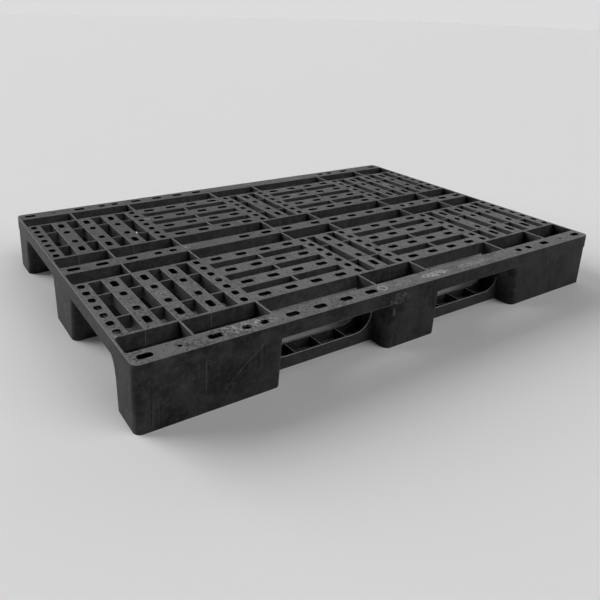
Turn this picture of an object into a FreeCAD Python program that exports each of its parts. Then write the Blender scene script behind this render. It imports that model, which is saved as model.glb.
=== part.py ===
"""Plastic pallet: nine hollow feet, an open grid deck and three channel runners.

Units are millimetres. +X runs along the length, +Y from front to rear and +Z up. The origin is the
middle of the footprint, on the floor.
"""
import FreeCAD, Part
import math
import os

# Overall size
LENGTH = 1200.0
WIDTH = 800.0
HEIGHT = 128.0
DECK_CORNER_R = 13.0

# Deck depths, measured down from the top face, and wall thicknesses
SKIRT_DEPTH = 30.0
WEB_DEPTH = 25.0
PLATE = 4.0
SKIRT_WALL = 4.0
WEB_WALL = 3.5

# Lengthwise bands and rails, measured across the width
OUTER_RAIL = 41.0
OUTER_BAND = 55.0
CENTRE_RAIL_HALF = 18.6
INNER_BAND = 53.4
BAND_CORNER_R = 6.0

# End panels: an end strip, then bars and gaps in turn, then an inner strip
END_STRIP = 32.0
END_GAP = 27.0
END_BAR = 35.0
END_BAR_COUNT = 3
END_EDGE = 6.0

# Centre panels: a middle bar, two gaps and two strips
CENTRE_BAR_HALF = 18.0
CENTRE_GAP = 24.0
CENTRE_STRIP = 33.0

# Slat panels
SLAT_GAP = 26.0
SLAT_PITCH = 66.0
SLAT_EDGE_MIN = 34.0
SLAT_TIE = 4.0
SLAT_END = 1.5

# Drain holes
HOLE_X = 14.0
HOLE_Y = 17.0
HOLE_CORNER_R = 5.5
HOLE_ROW_PITCH = 33.0
HOLE_ROW_EDGE = 17.0
SLOT_LENGTH = 27.0
SLOT_WIDTH = 14.0
SLOT_CORNER_R = 5.5
SLOT_PITCH = 62.0
SLOT_END_CLEAR = 15.0
ROUND_HOLE_R = 4.0

# Holes of the rails over the end feet, as distances in from the ends of the deck
RAIL_SLOTS_FROM_END = (28.0, 153.0)
RAIL_MARK_FROM_END = 88.0
RAIL_HOLES_FROM_END = (213.5, 249.0)
CENTRE_RAIL_SLOT_FROM_MIDDLE = 44.0

# Feet
FOOT_STEP = 0.8
FOOT_WALL = 4.0
FOOT_FLOOR = 5.0
FOOT_RIB = 3.5
FOOT_OUTER_DRAFT = 1.2
FOOT_END_DRAFT = 3.5
FOOT_INNER_DRAFT = 8.0
FOOT_MIDDLE_DRAFT = 11.0
FOOT_OUTER_R = 14.0
FOOT_INNER_R = 5.0
FOOT_LAP = 2.5

# Runners
RUNNER_WIDTH = 44.0
RUNNER_RIM = 26.0
RUNNER_WALL = 3.5
RUNNER_FLOOR = 4.0
RUNNER_ARC_R = 40.0
RUNNER_RIB = 3.0
RUNNER_RIB_MARGIN = 50.0

# Levels worked out from the sizes above
UNDER_SKIRT = HEIGHT - SKIRT_DEPTH
UNDER_WEB = HEIGHT - WEB_DEPTH
UNDER_PLATE = HEIGHT - PLATE

# Lines across the width: rail edges and panel edges
RAIL_INNER = WIDTH / 2 - OUTER_RAIL
PANEL_OUTER = RAIL_INNER - OUTER_BAND
PANEL_INNER = CENTRE_RAIL_HALF + INNER_BAND
PANEL_DEPTH = PANEL_OUTER - PANEL_INNER
PANEL_MID = (PANEL_OUTER + PANEL_INNER) / 2

# Lines along the length: section edges
END_OUTER = LENGTH / 2 - SKIRT_WALL
END_PANEL = END_STRIP + END_GAP * (END_BAR_COUNT + 1) + END_BAR * (END_BAR_COUNT + 1)
END_INNER = LENGTH / 2 - END_PANEL
CENTRE_HALF = CENTRE_BAR_HALF + CENTRE_GAP + CENTRE_STRIP
BAY_LENGTH = END_INNER - CENTRE_HALF
BAY_MID = (END_INNER + CENTRE_HALF) / 2

TINY = 1e-6


def vec(x, y, z=0.0):
    """Return a FreeCAD vector."""
    return FreeCAD.Vector(x, y, z)


def box(x_range, y_range, z_range):
    """Return a box between the given ranges, in either order."""
    lows = [min(pair) for pair in (x_range, y_range, z_range)]
    sizes = [abs(pair[1] - pair[0]) for pair in (x_range, y_range, z_range)]
    return Part.makeBox(sizes[0], sizes[1], sizes[2], vec(*lows))


def rounded_edges(x_range, y_range, z, radii):
    """Return the edges of a rectangle at height z with its own radius at each corner, in order.

    The radii are for the corners (low x, low y), (high x, low y), (high x, high y), (low x, high y).
    A radius of 0 leaves the corner square.
    """
    low_x, high_x = sorted(x_range)
    low_y, high_y = sorted(y_range)
    corners = [(low_x, low_y), (high_x, low_y), (high_x, high_y), (low_x, high_y)]
    quarter = math.pi / 2
    starts, ends, arcs = [], [], []
    for index, ((x, y), radius) in enumerate(zip(corners, radii)):
        inward_x = 1 if x == low_x else -1
        inward_y = 1 if y == low_y else -1
        centre_x = x + inward_x * radius
        centre_y = y + inward_y * radius
        first = math.pi + index * quarter
        points = [vec(centre_x + radius * math.cos(first + part * quarter),
                      centre_y + radius * math.sin(first + part * quarter), z)
                  for part in (0, 0.5, 1)]
        starts.append(points[0])
        ends.append(points[2])
        if radius > 0:
            arcs.append(Part.Arc(*points).toShape())
        else:
            arcs.append(None)
    edges = []
    for index in range(4):
        if arcs[index]:
            edges.append(arcs[index])
        following = starts[(index + 1) % 4]
        if ends[index].distanceToPoint(following) > TINY:
            edges.append(Part.LineSegment(ends[index], following).toShape())
    return edges


def rounded_wire(x_range, y_range, z, radii):
    """Return a closed rectangle at height z with its own radius at each corner."""
    return Part.Wire(rounded_edges(x_range, y_range, z, radii))


def plain_wire(x_range, y_range, z):
    """Return a square-cornered rectangle at height z."""
    return rounded_wire(x_range, y_range, z, (0, 0, 0, 0))


def centred_wire(x, y, size_x, size_y, z, radius):
    """Return a rounded rectangle centred on x, y."""
    radii = (radius,) * 4
    return rounded_wire((x - size_x / 2, x + size_x / 2), (y - size_y / 2, y + size_y / 2), z, radii)


def slab(outline, cuts, height):
    """Return a flat slab: an outline with cut-outs, raised by height."""
    face = Part.makeFace([outline] + list(cuts), "Part::FaceMakerBullseye")
    return face.extrude(vec(0, 0, height))


def merged(solids):
    """Return the solids joined into one, without the seams between them."""
    first, others = solids[0], solids[1:]
    if not others:
        return first
    return first.fuse(others).removeSplitter()


def spread(low, high, pitch):
    """Return centres at the given pitch that fit between low and high, centred there."""
    low, high = sorted((low, high))
    count = int((high - low) / pitch + TINY) + 1
    middle = (low + high) / 2
    return [middle + (index - (count - 1) / 2) * pitch for index in range(count)]


def hole_rows():
    """Return the rows of small holes across a panel, as distances from the panel's middle."""
    reach = PANEL_DEPTH / 2 - HOLE_ROW_EDGE
    return spread(-reach, reach, HOLE_ROW_PITCH)


def long_slot_offset():
    """Return how far the long slots of a bar lie from the panel's middle."""
    return hole_rows()[-1] - HOLE_ROW_PITCH / 2


def tie_offsets():
    """Return the offsets of the thin ties that cross the gaps of an end or centre panel."""
    offset = max(hole_rows()[-1] - 1.5 * HOLE_ROW_PITCH, 0)
    return sorted({-offset, offset})


def bar_holes(x, side):
    """Return the holes of one lengthways bar: a long slot at each end and small holes between."""
    reach = long_slot_offset()
    wires = [centred_wire(x, side * PANEL_MID + offset, SLOT_WIDTH, SLOT_LENGTH, UNDER_PLATE, SLOT_CORNER_R)
             for offset in (-reach, reach)]
    for row in hole_rows():
        clear_of_slot = abs(row) < reach - HOLE_ROW_PITCH
        if clear_of_slot and abs(row) > TINY:
            wires.append(centred_wire(x, side * PANEL_MID + row, HOLE_X, HOLE_Y, UNDER_PLATE, HOLE_CORNER_R))
    return wires


def strip_holes(x, side):
    """Return the full column of small holes of one strip."""
    return [centred_wire(x, side * PANEL_MID + row, HOLE_X, HOLE_Y, UNDER_PLATE, HOLE_CORNER_R)
            for row in hole_rows()]


def bays(low, high, walls):
    """Return the clear spans between low and high, with a web wall centred on each given line."""
    half = WEB_WALL / 2
    edges = [low]
    for line in sorted(walls):
        edges += [line - half, line + half]
    edges.append(high)
    return [(edges[index], edges[index + 1]) for index in range(0, len(edges), 2)]


def column_panel(x_edges, gap_spans, solid_spans, hole_wires, side):
    """Return a panel whose bars run across the pallet, between open gaps.

    x_edges are the panel's ends, gap_spans and solid_spans split it along x, and side is -1 in the
    front row of panels and 1 in the rear row.
    """
    y_low = side * PANEL_MID - PANEL_DEPTH / 2
    y_high = side * PANEL_MID + PANEL_DEPTH / 2
    ties = [side * PANEL_MID + offset for offset in tie_offsets()]
    open_rows = bays(y_low + END_EDGE, y_high - END_EDGE, ties)
    gaps = [(span, row) for span in gap_spans for row in open_rows]
    cells = [((min(span) + WEB_WALL, max(span) - WEB_WALL), row)
             for span in solid_spans for row in bays(y_low + WEB_WALL, y_high - WEB_WALL, ties)]
    plate_cuts = [plain_wire(span, row, UNDER_PLATE) for span, row in gaps] + hole_wires
    plate = slab(plain_wire(x_edges, (y_low, y_high), UNDER_PLATE), plate_cuts, PLATE)
    web_cuts = [plain_wire(span, row, UNDER_WEB) for span, row in gaps + cells]
    webs = slab(plain_wire(x_edges, (y_low, y_high), UNDER_WEB), web_cuts, WEB_DEPTH - PLATE)
    edges = [box(x_edges, (y, y + inward * WEB_WALL), (UNDER_SKIRT, UNDER_WEB))
             for y, inward in ((y_low, 1), (y_high, -1))]
    return merged([plate, webs] + edges)


def end_panel(end, side):
    """Return the end panel on one end (-1 left, 1 right) and side (-1 front, 1 rear)."""
    gap_spans, solid_spans, holes = [], [], []
    strip_edge = LENGTH / 2 - END_STRIP
    solid_spans.append((END_OUTER, strip_edge))
    holes += strip_holes(end * (LENGTH / 2 - END_STRIP / 2), side)
    edge = strip_edge
    for index in range(END_BAR_COUNT + 1):
        gap_spans.append((edge, edge - END_GAP))
        edge -= END_GAP
        solid_spans.append((edge, edge - END_BAR))
        middle = end * (edge - END_BAR / 2)
        holes += bar_holes(middle, side) if index < END_BAR_COUNT else strip_holes(middle, side)
        edge -= END_BAR
    mirrored = [[(end * first, end * last) for first, last in spans] for spans in (gap_spans, solid_spans)]
    return column_panel((end * END_OUTER, end * END_INNER), mirrored[0], mirrored[1], holes, side)


def centre_panel(side):
    """Return the centre panel on one side (-1 front, 1 rear)."""
    gap_edge = CENTRE_BAR_HALF + CENTRE_GAP
    gap_spans = [(-gap_edge, -CENTRE_BAR_HALF), (CENTRE_BAR_HALF, gap_edge)]
    solid_spans = [(-CENTRE_HALF, -gap_edge), (-CENTRE_BAR_HALF, CENTRE_BAR_HALF), (gap_edge, CENTRE_HALF)]
    holes = bar_holes(0, side)
    for end in (-1, 1):
        holes += strip_holes(end * (CENTRE_HALF - CENTRE_STRIP / 2), side)
    return column_panel((-CENTRE_HALF, CENTRE_HALF), gap_spans, solid_spans, holes, side)


def slat_rows():
    """Return the spans of the slats and of the gaps between them, from the panel's middle."""
    count = max(int((PANEL_DEPTH - 2 * SLAT_EDGE_MIN + SLAT_PITCH - SLAT_GAP) / SLAT_PITCH + TINY), 1)
    gap_middles = [(index - (count - 1) / 2) * SLAT_PITCH for index in range(count)]
    gaps = [(middle - SLAT_GAP / 2, middle + SLAT_GAP / 2) for middle in gap_middles]
    edges = [-PANEL_DEPTH / 2] + [edge for gap in gaps for edge in gap] + [PANEL_DEPTH / 2]
    slats = [(edges[index], edges[index + 1]) for index in range(0, len(edges), 2)]
    return slats, gaps


def slot_centres():
    """Return the centres of the slots along one bay, as distances from the bay's middle."""
    reach = BAY_LENGTH / 2 - SLOT_END_CLEAR - SLOT_LENGTH / 2
    return spread(-reach, reach, SLOT_PITCH)


def slat_panel(end, side):
    """Return the slat panel of one bay: four slats along the pallet, joined by one thin tie."""
    slats, gaps = slat_rows()
    middle = end * BAY_MID
    x_edges = (middle - BAY_LENGTH / 2, middle + BAY_LENGTH / 2)
    y_middle = side * PANEL_MID
    y_edges = (y_middle - PANEL_DEPTH / 2, y_middle + PANEL_DEPTH / 2)
    tie = (middle - SLAT_TIE / 2, middle + SLAT_TIE / 2)
    tie_sides = [(x_edges[0] + SLAT_END, tie[0]), (tie[1], x_edges[1] - SLAT_END)]
    open_cells = [(span, (y_middle + low, y_middle + high)) for low, high in gaps for span in tie_sides]
    slots = [centred_wire(middle + offset, y_middle + (low + high) / 2, SLOT_LENGTH, SLOT_WIDTH,
                          UNDER_PLATE, SLOT_CORNER_R)
             for low, high in slats for offset in slot_centres()]
    plate_cuts = [plain_wire(span, row, UNDER_PLATE) for span, row in open_cells] + slots
    plate = slab(plain_wire(x_edges, y_edges, UNDER_PLATE), plate_cuts, PLATE)
    web_lines = [middle + offset for offset in midpoints(slot_centres())]
    cells = [(span, (y_middle + low + WEB_WALL, y_middle + high - WEB_WALL))
             for low, high in slats for span in bays(x_edges[0] + WEB_WALL, x_edges[1] - WEB_WALL, web_lines)]
    web_cuts = [plain_wire(span, row, UNDER_WEB) for span, row in open_cells + cells]
    webs = slab(plain_wire(x_edges, y_edges, UNDER_WEB), web_cuts, WEB_DEPTH - PLATE)
    edges = [box(x_edges, (y, y + inward * WEB_WALL), (UNDER_SKIRT, UNDER_WEB))
             for y, inward in ((y_edges[0], 1), (y_edges[1], -1))]
    return merged([plate, webs] + edges)


def rail_holes(y, bay_ends, round_near_end):
    """Return the holes of a rail at y, with a full row of slots over each bay in bay_ends."""
    wires = []
    for end in (-1, 1):
        for inset in RAIL_SLOTS_FROM_END:
            wires.append(centred_wire(end * (LENGTH / 2 - inset), y, SLOT_LENGTH, SLOT_WIDTH, UNDER_PLATE,
                                      SLOT_CORNER_R))
        for inset in RAIL_HOLES_FROM_END:
            wires.append(centred_wire(end * (LENGTH / 2 - inset), y, HOLE_Y, HOLE_X, UNDER_PLATE,
                                      HOLE_CORNER_R))
        x = end * (LENGTH / 2 - RAIL_MARK_FROM_END)
        if round_near_end:
            circle = Part.makeCircle(ROUND_HOLE_R, vec(x, y, UNDER_PLATE))
            wires.append(Part.Wire([circle]))
        else:
            wires.append(centred_wire(x, y, SLOT_LENGTH, SLOT_WIDTH, UNDER_PLATE, SLOT_CORNER_R))
    for end in bay_ends:
        for offset in slot_centres():
            wires.append(centred_wire(end * BAY_MID + offset, y, SLOT_LENGTH, SLOT_WIDTH, UNDER_PLATE,
                                      SLOT_CORNER_R))
    return wires


def midpoints(values):
    """Return the middle of each neighbouring pair of values."""
    return [(first + second) / 2 for first, second in zip(values, values[1:])]


def rail_web_lines():
    """Return the x of each cross web inside a rail: between neighbouring holes and over each foot's side."""
    insets = sorted(RAIL_SLOTS_FROM_END + (RAIL_MARK_FROM_END,) + RAIL_HOLES_FROM_END)
    lines = [0.0]
    for end in (-1, 1):
        lines += [end * (LENGTH / 2 - inset) for inset in midpoints(insets)]
        lines += [end * BAY_MID + offset for offset in midpoints(slot_centres())]
        lines += [end * (CENTRE_HALF - WEB_WALL / 2), end * (END_INNER + WEB_WALL / 2)]
    return sorted(lines)


def rail(x_edges, y_edges, radii, walls, hole_wires):
    """Return one rail: a plate with holes over a ring of walls and cross webs.

    radii are the plan's corner radii. walls are the thicknesses of the walls at the two ends, at the
    low-y side and at the high-y side.
    """
    end_wall, low_wall, high_wall = walls
    plate = slab(rounded_wire(x_edges, y_edges, UNDER_PLATE, radii), hole_wires, PLATE)
    inner = [max(radius - end_wall, 0) for radius in radii]
    spans = bays(x_edges[0] + end_wall, x_edges[1] - end_wall, rail_web_lines())
    corners = [(0, 0, 0, 0)] * len(spans)
    corners[0] = (inner[0], 0, 0, inner[3])
    corners[-1] = (0, inner[1], inner[2], 0)
    y_span = (y_edges[0] + low_wall, y_edges[1] - high_wall)
    cuts = [rounded_wire(span, y_span, UNDER_SKIRT, corner) for span, corner in zip(spans, corners)]
    ring = slab(rounded_wire(x_edges, y_edges, UNDER_SKIRT, radii), cuts, SKIRT_DEPTH - PLATE)
    return merged([plate, ring])


def outer_rail(side):
    """Return the front (side -1) or rear (side 1) rail, with the deck's rounded corners."""
    y = side * (WIDTH / 2 - OUTER_RAIL / 2)
    holes = rail_holes(y, (-1,), True)
    radii = (DECK_CORNER_R, DECK_CORNER_R, 0, 0)
    walls = (SKIRT_WALL, SKIRT_WALL, WEB_WALL)
    if side > 0:
        radii = radii[::-1]
        walls = (SKIRT_WALL, WEB_WALL, SKIRT_WALL)
    y_edges = sorted((side * RAIL_INNER, side * WIDTH / 2))
    return rail((-LENGTH / 2, LENGTH / 2), y_edges, radii, walls, holes)


def centre_rail():
    """Return the rail along the middle of the deck."""
    holes = rail_holes(0, (1,), False)
    for end in (-1, 1):
        holes.append(centred_wire(end * CENTRE_RAIL_SLOT_FROM_MIDDLE, 0, SLOT_LENGTH, SLOT_WIDTH,
                                  UNDER_PLATE, SLOT_CORNER_R))
    for offset in slot_centres()[-2:]:
        holes.append(centred_wire(-BAY_MID + offset, 0, SLOT_LENGTH, SLOT_WIDTH, UNDER_PLATE,
                                  SLOT_CORNER_R))
    y_edges = (-CENTRE_RAIL_HALF, CENTRE_RAIL_HALF)
    return rail((-END_OUTER, END_OUTER), y_edges, (0, 0, 0, 0), (WEB_WALL,) * 3, holes)


def band_spans():
    """Return the y spans of the four open bands, by name."""
    return {
        "front_outer": (-RAIL_INNER, -PANEL_OUTER),
        "front_inner": (-PANEL_INNER, -CENTRE_RAIL_HALF),
        "rear_inner": (CENTRE_RAIL_HALF, PANEL_INNER),
        "rear_outer": (PANEL_OUTER, RAIL_INNER),
    }


def corner_fillet(x, y, toward_x, toward_y):
    """Return the small upright fillet that fills an inside corner of a band."""
    radius = BAND_CORNER_R
    corner = vec(x, y, UNDER_SKIRT)
    on_x = vec(x + toward_x * radius, y, UNDER_SKIRT)
    on_y = vec(x, y + toward_y * radius, UNDER_SKIRT)
    reach = radius * (1 - math.sqrt(0.5))
    middle = vec(x + toward_x * reach, y + toward_y * reach, UNDER_SKIRT)
    wire = Part.Wire([Part.LineSegment(corner, on_x).toShape(), Part.Arc(on_x, middle, on_y).toShape(),
                      Part.LineSegment(on_y, corner).toShape()])
    return Part.Face(wire).extrude(vec(0, 0, SKIRT_DEPTH))


def end_skirt(end):
    """Return the upright wall that closes one end of the deck between the outer rails."""
    wall = box((end * END_OUTER, end * LENGTH / 2), (-RAIL_INNER, RAIL_INNER), (UNDER_SKIRT, HEIGHT))
    fillets = [corner_fillet(end * END_OUTER, y, -end, toward)
               for low, high in band_spans().values() for y, toward in ((low, 1), (high, -1))]
    return merged([wall] + fillets)


def foot_rib_line():
    """Return the distance from the middle of the rib that splits the end feet and their bands."""
    return LENGTH / 2 - END_STRIP - 2 * END_GAP - END_BAR - WEB_WALL / 2


def band_rib_lines():
    """Return the distances from the middle of the ribs that cross each half of a band."""
    return [CENTRE_HALF - WEB_WALL / 2, END_INNER + WEB_WALL / 2, foot_rib_line()]


def band_ribs(y_span):
    """Return the thin ribs that cross one band, as a group of separate solids."""
    ribs = []
    for end in (-1, 1):
        for line in band_rib_lines():
            x_span = (end * line - WEB_WALL / 2, end * line + WEB_WALL / 2)
            ribs.append(box(x_span, y_span, (UNDER_SKIRT, HEIGHT)))
    return Part.Compound(ribs)


def foot_plan(column, row):
    """Return a foot's plan at its top and at the floor.

    column is -1, 0 or 1 along x and row is -1, 0 or 1 along y. Each plan is (x_range, y_range). The
    sides lean in towards the floor, each by its own draft.
    """
    if column:
        top_x = (column * (END_INNER - FOOT_LAP / 2), column * (LENGTH / 2 - FOOT_STEP))
        low_x = (top_x[0] + column * FOOT_END_DRAFT, top_x[1] - column * FOOT_OUTER_DRAFT)
    else:
        top_x = (-CENTRE_HALF + FOOT_LAP / 2, CENTRE_HALF - FOOT_LAP / 2)
        low_x = (top_x[0] + FOOT_END_DRAFT, top_x[1] - FOOT_END_DRAFT)
    if row:
        top_y = (row * (PANEL_OUTER - FOOT_LAP), row * (WIDTH / 2 - FOOT_STEP))
        low_y = (top_y[0] + row * FOOT_INNER_DRAFT, top_y[1] - row * FOOT_OUTER_DRAFT)
    else:
        top_y = (-PANEL_INNER - FOOT_LAP, PANEL_INNER + FOOT_LAP)
        low_y = (top_y[0] + FOOT_MIDDLE_DRAFT, top_y[1] - FOOT_MIDDLE_DRAFT)
    return (top_x, top_y), (low_x, low_y)


def foot_radii(column, row):
    """Return a foot's corner radii in plan: large where the corner is on the pallet's outline."""
    radii = []
    for corner_x, corner_y in ((-1, -1), (1, -1), (1, 1), (-1, 1)):
        outside = (column and corner_x == column) or (row and corner_y == row)
        radii.append(FOOT_OUTER_R if outside else FOOT_INNER_R)
    return radii


def shrunk(plan, amount):
    """Return a plan moved in by amount on all four sides."""
    return [(min(span) + amount, max(span) - amount) for span in plan]


def between(top, low, z):
    """Return the plan at height z of a foot whose sides run straight from top to low."""
    share = z / UNDER_SKIRT
    return [tuple(low_edge + share * (top_edge - low_edge)
                  for low_edge, top_edge in zip(sorted(low_span), sorted(top_span)))
            for top_span, low_span in zip(top, low)]


def tapered(top, low, z_low, radii, inset):
    """Return the tapered block of a foot from z_low up to the skirt, moved in by inset."""
    rings = []
    for z in (z_low, UNDER_SKIRT):
        x_range, y_range = shrunk(between(top, low, z), inset)
        rings.append(rounded_edges(x_range, y_range, z, [max(radius - inset, 1.0) for radius in radii]))
    sides = [Part.makeRuledSurface(lower, upper) for lower, upper in zip(*rings)]
    caps = [Part.Face(Part.Wire(ring)) for ring in rings]
    solid = Part.Solid(Part.makeShell(sides + caps))
    if solid.Volume < 0:
        solid.reverse()
    return solid


def foot_outer(column, row):
    """Return the outside of a foot as a filled block."""
    top, low = foot_plan(column, row)
    return tapered(top, low, 0.0, foot_radii(column, row), 0.0)


def foot(column, row):
    """Return a hollow foot, closed at the floor and split by upright ribs."""
    top, low = foot_plan(column, row)
    cavity = tapered(top, low, FOOT_FLOOR, foot_radii(column, row), FOOT_WALL)
    z_span = (FOOT_FLOOR, UNDER_SKIRT)
    bounds = cavity.BoundBox
    x_span = (bounds.XMin, bounds.XMax)
    y_span = (bounds.YMin, bounds.YMax)
    rib_x = column * foot_rib_line()
    rib_y = row * (RAIL_INNER + WEB_WALL / 2)
    across = box((rib_x - FOOT_RIB / 2, rib_x + FOOT_RIB / 2), y_span, z_span)
    along = box(x_span, (rib_y - FOOT_RIB / 2, rib_y + FOOT_RIB / 2), z_span)
    hollow = cavity.cut([across, along])
    return foot_outer(column, row).cut(hollow)


def runner_side():
    """Return one side of a runner bay in the XZ plane, centred on x = 0, as a closed wire.

    The rim is low over the bay and climbs in a quarter circle to the foot at each end. The ends run
    on past the bay, to be trimmed by the feet.
    """
    reach = BAY_LENGTH / 2 + FOOT_LAP / 2
    past = reach + FOOT_END_DRAFT + FOOT_OUTER_R
    arc_top = RUNNER_RIM + RUNNER_ARC_R
    tangent = reach - RUNNER_ARC_R
    diagonal = RUNNER_ARC_R * math.sqrt(0.5)
    left = [vec(-reach, 0, arc_top), vec(-tangent - diagonal, 0, arc_top - diagonal),
            vec(-tangent, 0, RUNNER_RIM)]
    right = [vec(-point.x, 0, point.z) for point in reversed(left)]
    corners = [vec(-past, 0, 0), vec(past, 0, 0), vec(past, 0, arc_top)]
    edges = [Part.LineSegment(corners[0], corners[1]), Part.LineSegment(corners[1], corners[2]),
             Part.LineSegment(corners[2], right[2]), Part.Arc(right[2], right[1], right[0]),
             Part.LineSegment(right[0], left[2]), Part.Arc(left[2], left[1], left[0]),
             Part.LineSegment(left[0], vec(-past, 0, arc_top)),
             Part.LineSegment(vec(-past, 0, arc_top), corners[0])]
    return Part.Wire([edge.toShape() for edge in edges])


def runner_y_span(row):
    """Return the y span of the runner under one row of feet."""
    if row == 0:
        return (-RUNNER_WIDTH / 2, RUNNER_WIDTH / 2)
    inner = row * (PANEL_OUTER - FOOT_LAP + FOOT_INNER_DRAFT)
    return (inner, inner + row * RUNNER_WIDTH)


def runner_bay(end, row):
    """Return the runner between two feet: two walls, a floor and cross ribs, open at the top."""
    low_y, high_y = sorted(runner_y_span(row))
    walls = []
    for y in (low_y, high_y - RUNNER_WALL):
        wall = Part.Face(runner_side()).extrude(vec(0, RUNNER_WALL, 0))
        wall.translate(vec(end * BAY_MID, y, 0))
        walls.append(wall)
    x_reach = BAY_LENGTH / 2 + FOOT_LAP / 2 + FOOT_END_DRAFT + FOOT_OUTER_R
    x_span = (end * BAY_MID - x_reach, end * BAY_MID + x_reach)
    pieces = walls + [box(x_span, (low_y, high_y), (0, RUNNER_FLOOR))]
    rib_reach = BAY_LENGTH / 2 - RUNNER_RIB_MARGIN
    for offset in spread(-rib_reach, rib_reach, SLOT_PITCH):
        x = end * BAY_MID + offset
        pieces.append(box((x - RUNNER_RIB / 2, x + RUNNER_RIB / 2), (low_y, high_y), (0, RUNNER_RIM)))
    bay = merged(pieces)
    return bay.cut([foot_outer(0, row), foot_outer(end, row)])


def build():
    """Return every node of the pallet by name."""
    ends = {-1: "left", 1: "right"}
    sides = {-1: "front", 1: "rear"}
    nodes = {"centre_rail": centre_rail()}
    for side, side_name in sides.items():
        nodes[side_name + "_rail"] = outer_rail(side)
        nodes["centre_panel_" + side_name] = centre_panel(side)
    for end, end_name in ends.items():
        nodes["end_skirt_" + end_name] = end_skirt(end)
        for side, side_name in sides.items():
            place = side_name + "_" + end_name
            nodes["end_panel_" + place] = end_panel(end, side)
            nodes["slat_panel_" + place] = slat_panel(end, side)
    for name, y_span in band_spans().items():
        nodes["band_ribs_" + name] = band_ribs(y_span)
    rows = {-1: "front", 0: "centre", 1: "rear"}
    columns = {-1: "left", 0: "middle", 1: "right"}
    for row, row_name in rows.items():
        for column, column_name in columns.items():
            nodes["foot_" + row_name + "_" + column_name] = foot(column, row)
        for end, end_name in ends.items():
            nodes["runner_" + row_name + "_" + end_name] = runner_bay(end, row)
    return nodes


def main():
    """Build the pallet and write one STEP file for each node."""
    os.makedirs("parts", exist_ok=True)
    for name, shape in build().items():
        shape.exportStep("parts/" + name + ".step")
        print(name, len(shape.Solids), "solids", round(shape.Volume / 1000, 1), "cm3", shape.isValid())


main()
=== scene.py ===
"""Looks of an open-deck plastic pallet: a grid deck on nine block feet with six runner bays."""

import logging
import math
from dataclasses import dataclass, field
from enum import Enum

import bmesh
import bpy
from mathutils import Matrix, Vector
from mathutils.bvhtree import BVHTree

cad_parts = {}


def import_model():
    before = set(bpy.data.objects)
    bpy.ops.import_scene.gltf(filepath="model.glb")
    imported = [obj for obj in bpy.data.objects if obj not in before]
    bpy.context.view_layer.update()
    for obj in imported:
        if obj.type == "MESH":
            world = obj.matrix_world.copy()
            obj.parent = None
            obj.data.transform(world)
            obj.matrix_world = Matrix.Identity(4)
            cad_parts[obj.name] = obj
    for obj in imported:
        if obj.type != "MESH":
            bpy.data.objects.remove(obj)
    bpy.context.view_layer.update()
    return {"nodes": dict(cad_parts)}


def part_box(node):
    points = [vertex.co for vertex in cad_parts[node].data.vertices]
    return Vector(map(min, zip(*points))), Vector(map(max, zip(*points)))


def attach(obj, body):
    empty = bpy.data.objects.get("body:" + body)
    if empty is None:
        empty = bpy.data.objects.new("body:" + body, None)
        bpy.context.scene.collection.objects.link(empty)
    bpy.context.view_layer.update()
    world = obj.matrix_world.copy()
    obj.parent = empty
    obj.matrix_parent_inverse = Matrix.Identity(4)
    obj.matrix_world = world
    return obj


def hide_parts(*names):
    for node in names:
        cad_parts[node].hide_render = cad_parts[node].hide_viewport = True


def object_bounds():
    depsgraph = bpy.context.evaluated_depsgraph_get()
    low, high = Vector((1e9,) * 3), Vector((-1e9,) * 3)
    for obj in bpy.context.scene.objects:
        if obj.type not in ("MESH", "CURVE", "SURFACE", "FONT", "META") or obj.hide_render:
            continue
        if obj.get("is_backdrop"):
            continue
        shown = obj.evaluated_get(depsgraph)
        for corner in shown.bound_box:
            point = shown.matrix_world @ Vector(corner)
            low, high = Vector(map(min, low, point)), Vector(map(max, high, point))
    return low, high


LOG = logging.getLogger("pallet")
MM = 0.001
EDGE_LAYER = "rubbed_edge"
# Face attribute that carries painted shade on hole walls and under webs.
HOLE_LAYER = "hole_wall"
MERGE = 1e-6
LEVEL = 0.99
UPRIGHT = 0.95
FLAT = math.radians(0.4)
SCUFF_RANGE = (0.46, 0.58)
RUB_RANGE = (0.34, 0.56)
SPOT_CORE = 0.55
RING_CORE = 0.4
MOTTLE_WAVES = 17.0
SMUDGE_WAVES = 85.0
SPECKLE_WAVES = 230.0
FLECK_WAVES = 420.0


class End(Enum):
    """The two short ends of the pallet, by the sign of X."""

    LEFT = -1
    RIGHT = 1


class Row(Enum):
    """The two long sides of the pallet, by the sign of Y."""

    FRONT = -1
    REAR = 1


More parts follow.
